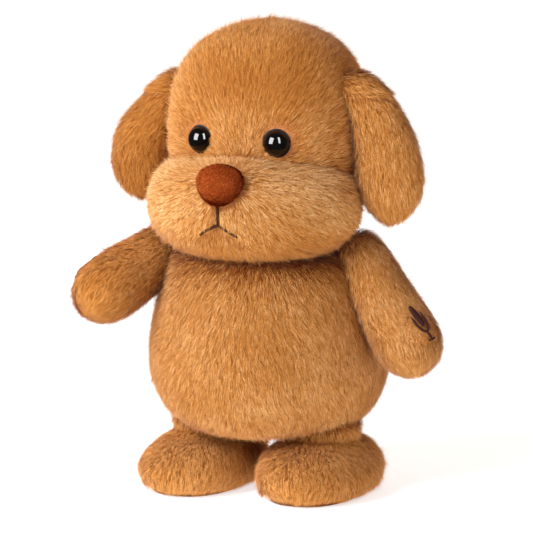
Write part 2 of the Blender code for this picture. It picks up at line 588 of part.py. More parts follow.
def finish_rear(shell):
    for number, (x, z) in enumerate(SCREW_SPOTS, start=1):
        boolean(shell, rod(f"cut_screw_{number}", (x * MM, 15 * MM, z * MM), (x * MM, 30 * MM, z * MM),
                           1.5 * MM, sides=10, cutter=True))


# ---------------------------------------------------------------- batteries, door and power switch
def make_power():
    low = (-BAY_HALF_X / MM, CASE_REAR / MM + 0.3, BAY_LOW / MM)
    high = (BAY_HALF_X / MM, BAY_REAR / MM, BAY_HIGH / MM)
    wall = BAY_WALL / MM
    bay = block("battery_box", low, high, DARK)
    boolean(bay, block("cut_bay", (low[0] + wall, low[1] + wall, low[2] + wall),
                       (high[0] - wall, high[1] + 5, high[2] - wall), cutter=True))
    middle_y = (CASE_REAR + BAY_REAR + BAY_WALL) / 2
    for number in range(3):
        x = (number - 1) * CELL_PITCH * MM
        edge = CELL_RADIUS - 0.35
        cell = [(0, CELL_LENGTH), (1.9, CELL_LENGTH), (1.9, CELL_LENGTH - 1), (edge, CELL_LENGTH - 1),
                (CELL_RADIUS, CELL_LENGTH - 1.5), (CELL_RADIUS, 0.4), (edge, 0), (0, 0)]
        turned(f"battery_{number + 1}", cell, CELL, steps=16,
               place=Matrix.Translation((x, middle_y, BAY_LOW + 2.8 * MM)))
    window = rounded(DOOR_HALF_X + 0.4 * MM, DOOR_LOW - 0.4 * MM, DOOR_HIGH + 0.4 * MM, 2 * MM, 2)
    slot = rounded(3.7 * MM, SWITCH_Z - 1.9 * MM, SWITCH_Z + 1.9 * MM, 0.4 * MM, 1)
    edge = rounded(PLATE_HALF_X, PLATE_LOW, PLATE_HIGH, 6 * MM)
    panel("back_plate", [edge, window, slot], PLATE_Y, PLATE_Y + PLATE_THICK, DARK)
    make_door()
    block("power_switch_body", (-8, 31.5, 42.6), (8, 37.6, 49.6), DARK)
    knob = block("power_switch_slider", (-3.4, 38, 44.7), (-0.4, 41.4, 47.7), WHITE)
    bevel = knob.modifiers.new("soft_edges", "BEVEL")
    bevel.width = 0.3 * MM
    bevel.segments = 1


def make_door():
    outline = rounded(DOOR_HALF_X, DOOR_LOW, DOOR_HIGH, 1.6 * MM, 2)
    door = panel("battery_door", [outline], PLATE_Y + GAP, PLATE_Y + PLATE_THICK, DARK)
    screw_z = DOOR_HIGH - 4 * MM
    y = PLATE_Y + PLATE_THICK
    boolean(door, turned("cut_door_screw", [(0, 5), (2.7, 5), (2.7, -1.1), (1.3, -1.1), (1.3, -6), (0, -6)],
                         steps=12, cutter=True, place=facing((0, y, screw_z), (0, 1, 0))))
    head = [(0, 0), (2.1, 0), (2.4, -0.4), (2.4, -0.8), (1, -0.8), (1, -2.6), (0, -2.8)]
    turned("battery_door_screw", head, STEEL, steps=12, place=facing((0, y, screw_z), (0, 1, 0)))


# ---------------------------------------------------------------- sound
def make_sound():
    block("main_pcb", (-17, -11.9, 74), (17, -10.3, 96.5), BOARD)
    cone = [(0, 1.5), (5, 2.4), (12, 4), (14, 4), (14, 2.6), (11, 0.5), (8, -3), (8, -6.6), (0, -6.6)]
    turned("speaker", cone, DARK, steps=18, place=facing((0, -19.4 * MM, 82 * MM), (0, -1, 0)))
    rod("microphone", (22 * MM, -23 * MM, 86 * MM), (22 * MM, -17 * MM, 86 * MM), 4.5 * MM, STEEL, 12)


make_body()
make_head()
make_mouth()
make_ears()
make_arms()
make_legs()
make_drive()
make_case()
make_power()
make_sound()
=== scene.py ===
"""Looks of the plush puppy: fur, face, embroidery and finishes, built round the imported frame.

Shapes are given in millimetres in the toy's own frame, whose Z axis is the neck axis; world() moves
them into the row frame. The puppy's own left is +X.
"""

import json
import math

import bpy
import numpy as np
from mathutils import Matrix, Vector, kdtree

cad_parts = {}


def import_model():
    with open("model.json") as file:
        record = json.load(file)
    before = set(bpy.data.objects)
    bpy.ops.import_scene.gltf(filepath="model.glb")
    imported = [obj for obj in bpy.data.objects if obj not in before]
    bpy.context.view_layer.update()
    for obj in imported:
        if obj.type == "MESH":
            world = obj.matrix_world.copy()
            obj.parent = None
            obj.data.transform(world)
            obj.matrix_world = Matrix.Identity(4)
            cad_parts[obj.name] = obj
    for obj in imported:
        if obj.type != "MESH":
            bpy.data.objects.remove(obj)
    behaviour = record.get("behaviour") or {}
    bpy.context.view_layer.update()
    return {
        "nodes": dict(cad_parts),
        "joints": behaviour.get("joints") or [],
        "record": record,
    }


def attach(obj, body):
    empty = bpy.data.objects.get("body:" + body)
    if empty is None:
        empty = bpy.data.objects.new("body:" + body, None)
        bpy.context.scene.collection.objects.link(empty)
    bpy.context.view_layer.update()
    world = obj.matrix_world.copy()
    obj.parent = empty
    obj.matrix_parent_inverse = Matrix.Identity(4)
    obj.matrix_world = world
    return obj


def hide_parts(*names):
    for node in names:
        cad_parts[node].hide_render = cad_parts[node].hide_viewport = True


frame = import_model()

MM = 0.001
JOINTS = {joint["name"]: joint for joint in frame["joints"]}
SHIFT = np.array([*JOINTS["head_turn"]["pos_m"][:2], 0.0])
FUR_SHARE = 1.0
MOST_STRANDS = 66000      # in one piece
SIDES = (("left", 1), ("right", -1))

PROFILE_STEPS = 4         # points to each span of a turned profile

# ---------------------------------------------------------------- shapes of the plush skins, mm
# HEAD and BODY are (radius, height), ARM is (radius, distance from the shoulder), and FOOT_ROWS and
# SOLE_RECESS are (height, half width, half length). ARM_REST is the way a hanging arm points and how many
# degrees it is swung; the other angles are in radians.
HEAD_Y, FACE_DEPTH, FACE_POWER = 5, 0.9, 2.5
HEAD_AXIS = np.array([0, HEAD_Y, 0])
HEAD = [(0.5, 220.5), (12, 218.5), (22.5, 214.8), (31.8, 209), (38.8, 200), (42.9, 189), (44.6, 176),
        (44.6, 163), (43.4, 150), (41, 138), (37, 127), (31, 119), (22, 113), (10, 110), (0.5, 110)]
BODY = [(0.5, 108), (20, 110), (33, 113.5), (40.5, 112.8), (44.5, 108), (47, 101), (49.8, 92),
        (52.9, 80), (54.8, 68), (54.8, 58), (52.6, 49), (48.4, 41), (42, 34.8), (32.6, 30.9),
        (20, 29.3), (0.5, 28.8)]
BODY_DEPTH = 0.93
MUZZLE_CENTRE, MUZZLE_HALF = np.array([0, -14, 136.2]), np.array([49.2, 41.2, 25.4])
MUZZLE_SCALE = 30         # turns a share of the muzzle's size into about that many millimetres
GROOVE_DEPTH, GROOVE_WIDTH, MOUTH_X = 1.8, 2.6, -0.9
MOUTH_TOP, MOUTH_FORK, MOUTH_HALF, MOUTH_DROP = 142.5, 132, 9.6, 5.0
EAR_LINE = [(33, -1, 189), (40, -1.5, 192), (46.5, -2, 191), (52.5, -2.5, 185), (57.5, -3, 175),
            (60.8, -3, 165.5), (62.9, -3, 155), (63.6, -3, 146.5), (63.6, -3, 139.8), (63.3, -3, 134.6),
            (63.1, -3, 132)]
EAR_BROAD = [5, 7, 8.3, 9.8, 11.8, 13.3, 14.2, 13.6, 11.2, 6.6, 1.5]
EAR_THICK = [5, 6.2, 7.0, 7.6, 8.0, 8.2, 8.0, 7.2, 5.6, 3.6, 1.2]
EAR_TURN, EAR_CUP, RIGHT_EAR_SHORTER = math.radians(80), 2.0, 5.5
SHOULDER = np.array([47.0, 0, 113])
ARM = [(0.3, -10), (6.5, -8.5), (10, -4), (12, 6), (12.8, 20), (13.8, 33), (14.5, 44), (13.4, 51.5),
       (10, 57.6), (5.5, 60.4), (0.3, 61.2)]
ARM_REST = {"left": ((0.583, 0, -0.812), 11.6), "right": ((-0.36, 0, -0.933), 68)}
HAND_ALONG, HAND_OUT, PATCH_RADIUS = 45, 14.4, 9.2
BEND_ACROSS, BEND_ALONG = 29, 150      # the patch falls away by u * u / bend from its middle
FOOT_ROWS = [(1.0, 19.8, 33.6), (3, 22, 36), (7, 24.6, 39.2), (12, 25.4, 40.2), (17, 23.8, 37.8),
             (21, 20.6, 32.6), (23.6, 18.2, 25.4), (25.4, 17.3, 19.5), (28, 17, 17), (33, 17, 17),
             (35, 12, 12), (35.6, 1, 1)]
FOOT_LOW, FOOT_HIGH = np.array([30.0, -6]), np.array([27.3, 0])
SOLE_RECESS = [(5.4, 1, 1.8), (5.3, 19.8, 33.8)]
EYE_Z, EYE_X, EYE_Y, EYE_FACING, EYE_RADIUS = 168.6, 18.9, -32.6, math.radians(13), 6.3
NOSE_CENTRE, NOSE_TILT = np.array([0, -54.5, 151]), math.radians(20)
NOSE_RADIUS, NOSE_DOME = 10.1, 7.6
HATCH_HALF_X, HATCH_LOW, HATCH_HIGH, HATCH_MARGIN = 22.0, 40.0, 102.0, 1.2
CUT_LENGTH = 60
# Openings in the body's back: half width, low and high ends, and how far forward each one reaches.
CUTS = {"cut_hatch": (HATCH_HALF_X, HATCH_LOW, HATCH_HIGH, 37.9),
        "cut_bay": (18.3, 49.7, 100.3, 23.0),
        "cut_switch": (8.3, 42.3, 49.9, 31.2)}


# ---------------------------------------------------------------- helpers
def world(points):
    return np.asarray(points, float) * MM + SHIFT


def unit(vectors):
    vectors = np.asarray(vectors, float)
    return vectors / np.maximum(np.linalg.norm(vectors, axis=-1, keepdims=True), 1e-9)


def smooth_line(points, steps):
    """Points on a Catmull-Rom line through the given ones, steps to each span."""
    p = np.asarray(points, float)
    p = np.vstack([2 * p[0] - p[1], p, 2 * p[-1] - p[-2]])
    out = []
    for a, b, c, d in zip(p, p[1:], p[2:], p[3:]):
        for t in np.linspace(0, 1, steps, endpoint=False):
            out.append(0.5 * (2 * b + (c - a) * t + (2 * a - 5 * b + 4 * c - d) * t * t
                              + (3 * b - a - 3 * c + d) * t ** 3))
    return np.array(out + [p[-2]])


def skin_of(rows):
    """A closed surface through rows of points, as (points, quads, triangles), facing outwards."""
    rows = np.asarray(rows, float)
    count, around = rows.shape[:2]
    points = np.concatenate([rows.reshape(-1, 3), [rows[0].mean(0)], [rows[-1].mean(0)]])
    index = np.arange(count * around).reshape(count, around)
    after = np.roll(index, -1, axis=1)
    quads = np.stack([index[:-1], index[1:], after[1:], after[:-1]], -1).reshape(-1, 4)
    first, last = count * around, count * around + 1
    caps = np.concatenate([
        np.stack([np.full(around, first), index[0], after[0]], -1),
        np.stack([np.full(around, last), after[-1], index[-1]], -1)])
    split = np.concatenate([quads[:, [0, 1, 2]], quads[:, [0, 2, 3]], caps])
    if np.linalg.det(points[split]).sum() < 0:
        quads, caps, split = quads[:, ::-1], caps[:, ::-1], split[:, ::-1]
    return {"points": points, "quads": quads, "caps": caps, "triangles": split}


def mesh_of(name, points, faces):
    """A mesh in the row frame, of arrays of faces of different sizes."""
    faces = [np.asarray(f) for f in faces if len(f)]
    mesh = bpy.data.meshes.new(name)
    corners = np.concatenate([f.reshape(-1) for f in faces])
    sizes = np.concatenate([np.full(len(f), f.shape[1]) for f in faces])
    mesh.vertices.add(len(points))
    mesh.vertices.foreach_set("co", world(points).astype(np.float32).reshape(-1))
    mesh.loops.add(len(corners))
    mesh.loops.foreach_set("vertex_index", corners.astype(np.int32))
    mesh.polygons.add(len(sizes))
    starts = np.concatenate([[0], np.cumsum(sizes)[:-1]])
    mesh.polygons.foreach_set("loop_start", starts.astype(np.int32))
    mesh.polygons.foreach_set("use_smooth", np.full(len(sizes), True))
    mesh.update(calc_edges=True)
    mesh.validate()
    return mesh


def add(name, mesh, body, materials):
    """Links a mesh as a visible piece that rides on a body."""
    obj = bpy.data.objects.new(name, mesh)
    bpy.context.scene.collection.objects.link(obj)
    for mat in materials:
        mesh.materials.append(mat)
    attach(obj, body)
    return obj


def add_skin(name, skin, body, mat):
    return add(name, mesh_of(name, skin["points"], [skin["quads"], skin["caps"]]), body, [mat])


def across(direction):
    """Two unit vectors square to the direction and to each other."""
    direction = unit(direction)
    helper = np.array([0, 0, 1.0]) if abs(direction[2]) < 0.9 else np.array([0, 1.0, 0])
    u = unit(np.cross(helper, direction))
    return u, np.cross(direction, u)


def turned_rows(profile, origin, around, axis=(0, 0, 1), depth=1.0):
    """Rows of the (radius, height) profile turned about the axis at origin, around points to a row."""
    u, v = (np.array([1.0, 0, 0]), np.array([0, 1.0, 0])) if tuple(axis) == (0, 0, 1) else across(axis)
    angles = np.linspace(0, 2 * math.pi, around, endpoint=False)
    ring = np.cos(angles)[:, None] * u + np.sin(angles)[:, None] * v * depth
    line = smooth_line(profile, PROFILE_STEPS)
    return np.array([np.asarray(origin) + r * ring + h * unit(axis) for r, h in line])


def tubes(name, lines, radius, body, mat, sides=8):
    """Round threads along the lines, each closed at its ends, as one piece."""
    points, quads, caps = [], [], []
    for line in lines:
        line = np.asarray(line, float)
        along = unit(np.gradient(line, axis=0))
        u = across(along[0])[0]
        rows = []
        for i, (spot, tangent) in enumerate(zip(line, along)):
            u = unit(u - tangent * u.dot(tangent))
            v = np.cross(tangent, u)
            r = radius * (0.55 if i in (0, len(line) - 1) else 1)
            turn = np.linspace(0, 2 * math.pi, sides, endpoint=False)
            rows.append(spot + r * (np.cos(turn)[:, None] * u + np.sin(turn)[:, None] * v))
        skin = skin_of(rows)
        shift = sum(len(p) for p in points)
        points.append(skin["points"])
        quads.append(skin["quads"] + shift)
        caps.append(skin["caps"] + shift)
    mesh = mesh_of(name, np.concatenate(points), [np.concatenate(quads), np.concatenate(caps)])
    return add(name, mesh, body, [mat])


LATTICE = np.random.default_rng(5).random((32, 32, 32))


def noise(points, size):
    """Smooth noise from 0 to 1 with features of about that size."""
    p = np.asarray(points, float) / size + 97.3
    low = np.floor(p).astype(int)
    t = p - low
    t = t * t * (3 - 2 * t)
    total = 0
    for i in (0, 1):
        for j in (0, 1):
            for k in (0, 1):
                weight = (abs(1 - i - t[:, 0]) * abs(1 - j - t[:, 1]) * abs(1 - k - t[:, 2]))
                total = total + weight * LATTICE[(low[:, 0] + i) % 32, (low[:, 1] + j) % 32,
                                                 (low[:, 2] + k) % 32]
    return total


# ---------------------------------------------------------------- materials
def linear(*srgb):
    """A colour written as 8-bit sRGB, as linear values."""
    return tuple((c / 255 / 12.92 if c <= 10 else ((c / 255 + 0.055) / 1.055) ** 2.4) for c in srgb)


def plain(name, colour, roughness, **inputs):
    """One colour. The inputs are others of the shader's, with _ for each space."""
    mat = bpy.data.materials.new(name)
    mat.use_nodes = True
    shader = mat.node_tree.nodes["Principled BSDF"]
    shader.inputs["Base Color"].default_value = (*colour, 1)
    shader.inputs["Roughness"].default_value = roughness
    for key, value in inputs.items():
        shader.inputs[key.replace("_", " ")].default_value = value
    return mat


def mottled(name, dark, light, scale, roughness, bump, distance, **inputs):
    """Noise between two colours, with a matching bump. scale counts features in a metre."""
    mat = plain(name, light, roughness, **inputs)
    nodes, links = mat.node_tree.nodes, mat.node_tree.links
    shader = nodes["Principled BSDF"]
    place = nodes.new("ShaderNodeTexCoord")
    grain = nodes.new("ShaderNodeTexNoise")
    grain.inputs["Scale"].default_value = scale
    grain.inputs["Detail"].default_value = 4
    ramp = nodes.new("ShaderNodeValToRGB")
    ramp.color_ramp.elements[0].position, ramp.color_ramp.elements[1].position = 0.35, 0.65
    ramp.color_ramp.elements[0].color = (*dark, 1)
    ramp.color_ramp.elements[1].color = (*light, 1)
    rise = nodes.new("ShaderNodeBump")
    rise.inputs["Strength"].default_value = bump
    rise.inputs["Distance"].default_value = distance
    links.new(place.outputs["Object"], grain.inputs["Vector"])
    links.new(grain.outputs["Fac"], ramp.inputs["Fac"])
    links.new(ramp.outputs["Color"], shader.inputs["Base Color"])
    links.new(grain.outputs["Fac"], rise.inputs["Height"])
    links.new(rise.outputs["Normal"], shader.inputs["Normal"])
    return mat


# The backing fabric under the fur: its own colour, darkened below the roots' as painted shade between the
# strands.
BACKING_AND_SHADE = mottled("fur_backing_and_shade", linear(166, 94, 38), linear(190, 115, 52), 900, 1.0, 0.3, 0.0004)
SHAVED = mottled("shaved_plush", linear(158, 92, 40), linear(190, 120, 60), 1500, 1.0, 0.3, 0.0003)
EYE = plain("eye_gloss", linear(9, 6, 6), 0.04, Specular_IOR_Level=0.35)
EYE_RIM = plain("eye_rim", linear(14, 9, 8), 0.5, Specular_IOR_Level=0.2)
NOSE = mottled("nose_flock", linear(118, 44, 14), linear(168, 76, 30), 2600, 1.0, 0.5, 0.0003,
               Specular_IOR_Level=0.0)
THREAD = mottled("dark_thread", linear(44, 16, 16), linear(78, 32, 28), 3500, 0.9, 0.4, 0.0001,
                 Specular_IOR_Level=0.1)
MOUTH = mottled("mouth_thread", linear(46, 20, 8), linear(80, 40, 18), 3500, 0.95, 0.4, 0.0001,
                Specular_IOR_Level=0.1)
# Painted shade: the darkest root and tip tones, for strands in creases and under the chin.
DARKEST_SHADE_TONES = [(112, 50, 12), (142, 72, 24)]
# Roots darker than tips: partly the fur's own tone, partly painted shade deep in the pile.
ROOTS = [(170, 98, 38), (182, 110, 47), (194, 122, 57), (205, 134, 68)]
TIPS = [(193, 123, 54), (210, 143, 71), (228, 164, 94), (246, 193, 129)]
# A deeper orange copy of the fur's tones: painted shade, the tint that light bounced about in the fur gives
# in shade.
SHADE_TINT_ROOTS = [(170, 95, 33), (182, 107, 42), (194, 119, 51), (205, 131, 61)]
SHADE_TINT_TIPS = [(193, 119, 46), (210, 138, 62), (227, 157, 80), (245, 183, 108)]
# A paler copy of the fur's tones for the muzzle: painted light.
PAINTED_LIT_ROOTS = [(177, 105, 45), (189, 117, 55), (201, 130, 66), (212, 143, 78)]
PAINTED_LIT_TIPS = [(202, 132, 61), (219, 155, 83), (236, 180, 112), (252, 208, 149)]


def palette(name, roots, tips, sheen=0.15):
    """Plain finishes for strands: the roots' tones, then the tips'. The first of each is painted crevice
    shade.
    """
    return [plain(f"{name}_{end}_{i}", linear(*tone), 1.0, Sheen_Weight=sheen, Specular_IOR_Level=0.0)
            for end, tones in (("root", roots), ("tip", tips)) for i, tone in enumerate(tones)]


FUR = palette("fur", [DARKEST_SHADE_TONES[0]] + ROOTS, [DARKEST_SHADE_TONES[1]] + TIPS)
PAINTED_LIT_FUR = palette("painted_lit_fur", [DARKEST_SHADE_TONES[0]] + PAINTED_LIT_ROOTS, [DARKEST_SHADE_TONES[1]] + PAINTED_LIT_TIPS)
SHADE_TINT_FUR = palette("shade_tint_fur", [DARKEST_SHADE_TONES[0]] + SHADE_TINT_ROOTS, [DARKEST_SHADE_TONES[1]] + SHADE_TINT_TIPS)
# The left arm takes the usual tones and the right arm the deeper orange copy, as painted shade.
ARM_FUR = {"left": FUR, "right": SHADE_TINT_FUR}


# ---------------------------------------------------------------- fur
ROOT_DEPTH, LOWEST_POINT = 0.35, 0.1        # mm below the skin, and above the floor
STRAY_SHARE, STRAY_LIFT = 0.06, 24          # share of the strands, and degrees
SWIRL, SWIRL_SIZE, TONE_SIZE = 38, 18, 14   # degrees, and mm across each patch


def area_samples(skin, per_mm2, rng):
    """Random points on a skin, with their normals."""
    points, faces = skin["points"], skin["triangles"]
    corners = points[faces]
    cross = np.cross(corners[:, 1] - corners[:, 0], corners[:, 2] - corners[:, 0])
    area = np.linalg.norm(cross, axis=1) / 2
    normals = np.zeros_like(points)
    for i in range(3):
        np.add.at(normals, faces[:, i], cross)
    normals = unit(normals)
    count = int(area.sum() * per_mm2)
    picked = rng.choice(len(faces), count, p=area / area.sum())
    u, v = rng.random((2, count, 1))
    over = (u + v) > 1
    u, v = np.where(over, 1 - u, u), np.where(over, 1 - v, v)

    def mix(values):
        a, b, c = (values[faces[picked, i]] for i in range(3))
        return a * (1 - u - v) + b * u + c * v

    return mix(points), unit(mix(normals))


def nearest_guides(roots, guides):
    """The number of each root's nearest guide."""
    tree = kdtree.KDTree(len(guides))
    for i, guide in enumerate(guides):
        tree.insert(roots[guide], i)
    tree.balance()
    return np.array([tree.find(root)[1] for root in roots])


def add_strands(name, roots, points, shine, level, body, tones):
    """Strands of five points each, as pieces of at most MOST_STRANDS, parted by height."""
    split = math.ceil(len(roots) / MOST_STRANDS)
    order = np.argsort(roots[:, 2]) if split > 1 else np.arange(len(roots))
    for number, members in enumerate(np.array_split(order, split)):
        start = np.arange(len(members))[:, None] * 5
        quads, tips = start + [0, 1, 2, 3], start + [3, 2, 4]
        title = name if split == 1 else f"{name}_{number + 1}"
        mesh = mesh_of(title, points[members].reshape(-1, 3), [quads, tips])
        mesh.normals_split_custom_set_from_vertices(np.repeat(shine[members], 5, axis=0))
        add(title, mesh, body, tones)
        both = np.concatenate([level[members], level[members] + len(tones) // 2])
        mesh.polygons.foreach_set("material_index", both.astype(np.int32))


def grow(name, skin, body, flow, keep, length, seed, per_mm2=6.5, width=0.19, lift=(30, 9),
         tuft=0.7, clump=0.22, tones=FUR, painted_light=None, crevice_shade=None):
    """Fur on a skin, as pieces of flat tapering strands. flow gives each root's direction, keep its
    share of the length (0 leaves the strand out), the painted light how much paler or darker the
    strand is made, as light and shade painted by place, and the crevice shade the chance that it
    takes the darkest tones, as painted shade in creases."""
    rng = np.random.default_rng(seed)
    roots, normals = area_samples(skin, per_mm2 * FUR_SHARE, rng)
    share = keep(roots, normals)
    kept = share > 0.02
    roots, normals, share = roots[kept], normals[kept], share[kept]
    count = len(roots)
    guides = rng.choice(count, max(int(count / (per_mm2 * FUR_SHARE) * tuft), 8), replace=False)
    nearest = nearest_guides(roots, guides)
    guide_swirl = rng.normal(0, 7, len(guides))
    guide_lift = rng.normal(0, 4, len(guides))
    guide_long = rng.uniform(0.88, 1.1, len(guides))
    guide_tone = rng.random(len(guides))

    along = flow(roots)
    along = unit(along - normals * (along * normals).sum(1, keepdims=True))
    side = np.cross(normals, along)
    swirl = np.radians(SWIRL * (noise(roots, SWIRL_SIZE) - 0.5) + guide_swirl[nearest]
                       + rng.normal(0, 6, count))
    along, side = (along * np.cos(swirl)[:, None] + side * np.sin(swirl)[:, None],
                   side * np.cos(swirl)[:, None] - along * np.sin(swirl)[:, None])
    stray = np.where(rng.random(count) < STRAY_SHARE, STRAY_LIFT, 0)
    rise = [np.radians(angle + guide_lift[nearest] + rng.normal(0, 6, count) + stray)[:, None]
            for angle in lift]
    first, second = (along * np.cos(a) + normals * np.sin(a) for a in rise)
    long = (length * share * guide_long[nearest] * rng.uniform(0.8, 1.12, count))[:, None]
    pull = roots[guides][nearest] - roots
    pull = pull - normals * (pull * normals).sum(1, keepdims=True)
    pull = pull * (clump * rng.uniform(0.45, 1, (count, 1)))
    base = roots - normals * ROOT_DEPTH
    middle = base + first * long * 0.5 + pull * 0.3
    tip = middle + second * long * 0.55 + pull * 0.55

    twist = np.radians(rng.uniform(-38, 38, (count, 1)))
    flat = side * np.cos(twist) + np.cross(side, first) * np.sin(twist)
    half = width * rng.uniform(0.75, 1.2, (count, 1)) / 2 * 1
    points = np.stack([base - flat * half, base + flat * half, middle + flat * half * 0.85,
                       middle - flat * half * 0.85, tip], 1)
    facing = np.cross(points[:, 1] - points[:, 0], points[:, 3] - points[:, 0])
    turned = (facing * normals).sum(1) < 0
    points[turned] = points[turned][:, [1, 0, 3, 2, 4]]
    points[..., 2] = np.maximum(points[..., 2], LOWEST_POINT)

    tone = (0.5 + 0.35 * (noise(roots, TONE_SIZE) - 0.5) + 0.28 * (guide_tone[nearest] - 0.5)
            + rng.normal(0, 0.2, count))
    # Painted light and shade: the tone is made paler or darker by place.
    if painted_light:
        tone = tone + painted_light(roots)
    level = np.clip((tone * 4).astype(int), 0, 3) + 1
    # Painted crease shade: these strands take the darkest tones.
    if crevice_shade:
        level[rng.random(count) < crevice_shade(roots)] = 0
    shine = unit(normals + rng.normal(0, 0.12, (count, 3)))
    add_strands(name, roots, points, shine, level, body, tones)


# ---------------------------------------------------------------- where a point lies in the soft shapes
def lathe_radius(profile, z):
    """Outer radius of a turned profile at heights z, 0 beyond its ends."""
    line = smooth_line(profile, PROFILE_STEPS)
    order = np.argsort(line[:, 1])
    return np.interp(z, line[order, 1], line[order, 0], left=0, right=0)


def face_shape(offset):
    """How far the head's skin reaches in each direction from its axis, against a round one."""
    x, y = np.moveaxis(unit(offset[..., :2]), -1, 0)
    flat = (np.abs(x) ** FACE_POWER + np.abs(y / FACE_DEPTH) ** FACE_POWER) ** (-1 / FACE_POWER)
    return np.where(y < 0, flat, 1)


def depth_in_head(p):
    offset = p - HEAD_AXIS
    return lathe_radius(HEAD, p[:, 2]) * face_shape(offset) - np.hypot(offset[:, 0], offset[:, 1])


def sweep(z):
    """How far back the body's sides are swept."""
    return np.interp(z, [30, 70, 105], [4.0, 3.2, 0])


def depth_in_body(p):
    radius = lathe_radius(BODY, p[:, 2])
    y = p[:, 1] - sweep(p[:, 2]) * (p[:, 0] / np.maximum(radius, 1)) ** 2
    return radius - np.hypot(p[:, 0], y / BODY_DEPTH)


def muzzle_power(height):
    """The muzzle is squarer above its middle than below it."""
    return np.where(height > 0, 2.7, 2.2)


def depth_in_muzzle(p):
    q = (p - MUZZLE_CENTRE) / MUZZLE_HALF
    power = muzzle_power(q[:, 2])
    reach = np.hypot(q[:, 0], q[:, 1]) ** power + np.abs(q[:, 2]) ** power
    return (1 - reach ** (1 / power)) * MUZZLE_SCALE


def arm_direction(side):
    hanging, swing = ARM_REST[side]
    x, y, z = unit(hanging)
    a = math.radians(swing)
    return np.array([x, z * math.sin(a), z * math.cos(a)])


def depth_in_arm(p, side):
    sign = dict(SIDES)[side]
    offset = p - SHOULDER * [sign, 1, 1]
    direction = arm_direction(side)
    along = offset @ direction
    radius = np.interp(along, [s for r, s in ARM], [r for r, s in ARM], left=0, right=0)
    return radius - np.linalg.norm(offset - along[:, None] * direction, axis=1)


def outside(*depths):
    """1 outside all of those shapes and 0 inside any of them."""
    return np.where(np.max(depths, axis=0) > -0.3, 0.0, 1.0)


def covered(depth):
    """Short fur where a moving limb covers it at rest, so that no bare skin shows when it lifts."""
    return np.interp(depth, [-1.5, 1], [1, 0.4])


def depth_in_foot(p, sign):
    line = smooth_line(FOOT_ROWS, 3)
    half_x, half_y = (np.interp(p[:, 2], line[:, 0], line[:, i], left=1, right=1) for i in (1, 2))
    blend = np.interp(p[:, 2], [12, 27], [0, 1])[:, None]
    centre = FOOT_LOW + (FOOT_HIGH - FOOT_LOW) * blend
    reach = np.hypot((p[:, 0] * sign - centre[:, 0]) / half_x, (p[:, 1] - centre[:, 1]) / half_y)
    return (1 - reach) * half_x


def crease_shade(*depths):
    """How much painted crease shade a strand gets: from 1 against the nearest of those shapes to 0 well away
    from all of them.
    """
    return np.clip(1.1 * np.exp(np.max(depths, axis=0) / 3.2) - 0.1, 0, 1)


def near(p, spot, gone, full, least):
    """0 within gone of a spot, then from least up to 1 at full."""
    far = np.linalg.norm(p - np.asarray(spot), axis=1)
    return np.where(far < gone, 0, np.interp(far, [gone, full], [least, 1]))


# ---------------------------------------------------------------- head, muzzle and ears
EYES = {side: np.array([sign * EYE_X, EYE_Y, EYE_Z]) for side, sign in SIDES}
NOSE_OUT = np.array([0, -math.cos(NOSE_TILT), math.sin(NOSE_TILT)])


def muzzle_front(x, z):
    """The y of the muzzle's front, groove included."""
    height = (z - MUZZLE_CENTRE[2]) / MUZZLE_HALF[2]
    power = muzzle_power(height)
    reach = np.clip(1 - np.abs(height) ** power, 0, 1) ** (2 / power) - (x / MUZZLE_HALF[0]) ** 2
    y = MUZZLE_CENTRE[1] - MUZZLE_HALF[1] * np.sqrt(np.clip(reach, 0, 1))
    return y + groove(x, z)


def groove(x, z):
    fade = np.clip((z - 116) / 8, 0, 1) * np.clip((148 - z) / 6, 0, 1)
    return GROOVE_DEPTH * np.exp(-((x - MOUTH_X) / GROOVE_WIDTH) ** 2) * fade


def muzzle_rows():
    rows = []
    angles = np.linspace(0, 2 * math.pi, 160, endpoint=False)
    for v in np.linspace(-0.5 * math.pi + 0.03, 0.5 * math.pi - 0.03, 46):
        power = muzzle_power(v)
        w = math.copysign(abs(math.sin(v)) ** (2 / power), v)
        rho = max(1 - abs(w) ** power, 0) ** (1 / power)
        ring = MUZZLE_CENTRE + MUZZLE_HALF * np.stack([rho * np.cos(angles), rho * np.sin(angles),
                                                       np.full_like(angles, w)], 1)
        front = np.sin(angles) < 0
        ring[:, 1] += np.where(front, groove(ring[:, 0], ring[:, 2]) * rho, 0)
        rows.append(ring)
    return rows


MOUTH_SEAM = [(MOUTH_X - 0.06 * (z - MOUTH_FORK), z) for z in np.linspace(MOUTH_TOP, MOUTH_FORK, 9)]
MOUTH_STROKE = [(MOUTH_X + x, MOUTH_FORK - MOUTH_DROP * abs(x / MOUTH_HALF) ** 1.3)
                for x in np.linspace(-MOUTH_HALF, MOUTH_HALF, 25)]


def on_muzzle(spots, proud):
    return np.array([(x, muzzle_front(np.array(x), np.array(z)) - proud, z) for x, z in spots])


def face_share(p):
    """Fur is short round the eyes and by the mouth's threads, and absent under the nose."""
    share = np.ones(len(p))
    for spot in EYES.values():
        share = np.minimum(share, near(p, spot, 7.0, 10.5, 0.35))
    share = np.minimum(share, near(p, NOSE_CENTRE - NOSE_OUT * 2, 9.4, 13, 0.6))
    mouth = np.vstack([on_muzzle(MOUTH_SEAM, 0), on_muzzle(MOUTH_STROKE, 0)])
    gap = np.linalg.norm(p[:, None, :] - mouth[None], axis=2).min(1)
    return np.minimum(share, np.where(gap < 0.5, 0, np.interp(gap, [0.5, 3.5], [0.3, 1])))


